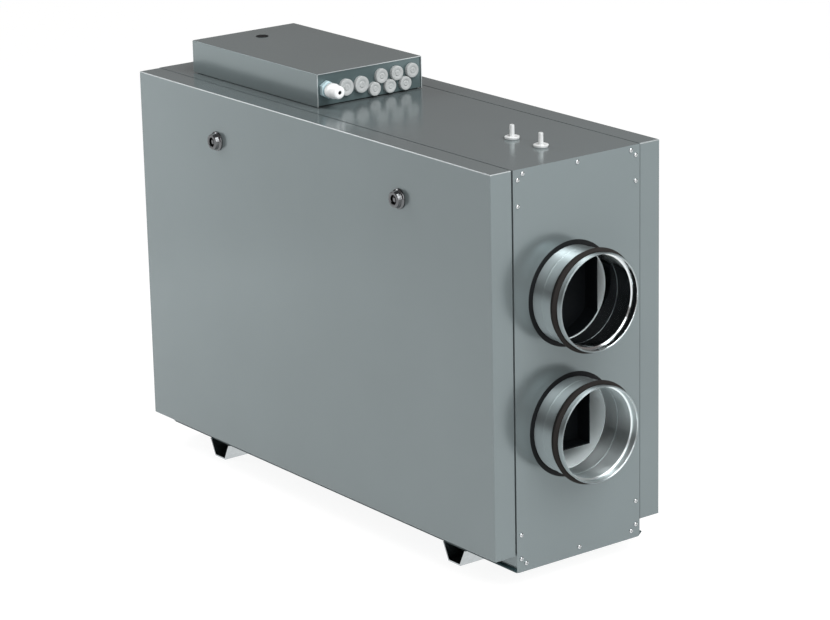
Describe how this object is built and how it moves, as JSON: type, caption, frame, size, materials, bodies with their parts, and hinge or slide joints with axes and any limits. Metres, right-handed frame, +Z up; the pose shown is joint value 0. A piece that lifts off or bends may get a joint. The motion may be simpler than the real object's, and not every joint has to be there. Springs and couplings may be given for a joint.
{
  "type": "air handling unit",
  "caption": "Compact air handling unit: grey sheet-metal casing on cross rails, lock-held side panels, round duct spigots at both ends and a control box on top.",
  "frame": {"origin": "on the floor, under the middle of the casing", "axes": "+X along the casing towards its right end, -Y out of the front panel, +Z up"},
  "size_m": [1.145, 0.3734, 0.759],
  "materials": {
    "casing_sheet": "satin metallic grey",
    "box_sheet": "satin metallic grey",
    "galvanised": "bright galvanised",
    "black_rubber": "matt",
    "lip_rubber": "matt",
    "dark_fan": "matt",
    "lock_metal": "dark chrome",
    "white_plastic": "smooth",
    "grey_rubber": "satin"
  },
  "bodies": {
    "root": {"bottom_tray": "casing_sheet", "top_cover": "casing_sheet", "right_end_plate": "casing_sheet", "left_end_plate": "casing_sheet", "right_inner_wall": "galvanised", "left_inner_wall": "galvanised", "front_panel": "casing_sheet", "back_panel": "casing_sheet", "front_panel_seal": "black_rubber", "back_panel_seal": "black_rubber", "front_panel_locks": "lock_metal", "back_panel_locks": "lock_metal", "front_edge_strip": "black_rubber", "back_edge_strip": "black_rubber", "right_rail": "galvanised", "left_rail": "galvanised", "right_upper_spigot": "galvanised", "right_lower_spigot": "galvanised", "left_upper_spigot": "galvanised", "left_lower_spigot": "galvanised", "right_upper_lip_seal": "lip_rubber", "right_lower_lip_seal": "lip_rubber", "left_upper_lip_seal": "lip_rubber", "left_lower_lip_seal": "lip_rubber", "right_upper_gasket": "black_rubber", "right_lower_gasket": "black_rubber", "left_upper_gasket": "black_rubber", "left_lower_gasket": "black_rubber", "right_upper_liner": "galvanised", "right_lower_liner": "galvanised", "left_upper_liner": "galvanised", "left_lower_liner": "galvanised", "right_upper_outlet": "dark_fan", "right_lower_outlet": "dark_fan", "left_upper_outlet": "dark_fan", "left_lower_outlet": "dark_fan", "control_box_base": "box_sheet", "control_box_cover": "box_sheet", "control_box_foam": "black_rubber", "cover_plug": "black_rubber", "cable_gland": "white_plastic", "gland_cap": "white_plastic", "large_grommets": "grey_rubber", "upper_grommets": "grey_rubber", "lower_grommets": "grey_rubber", "inner_nipple": "white_plastic", "outer_nipple": "white_plastic"}
  },
  "joints": []
}
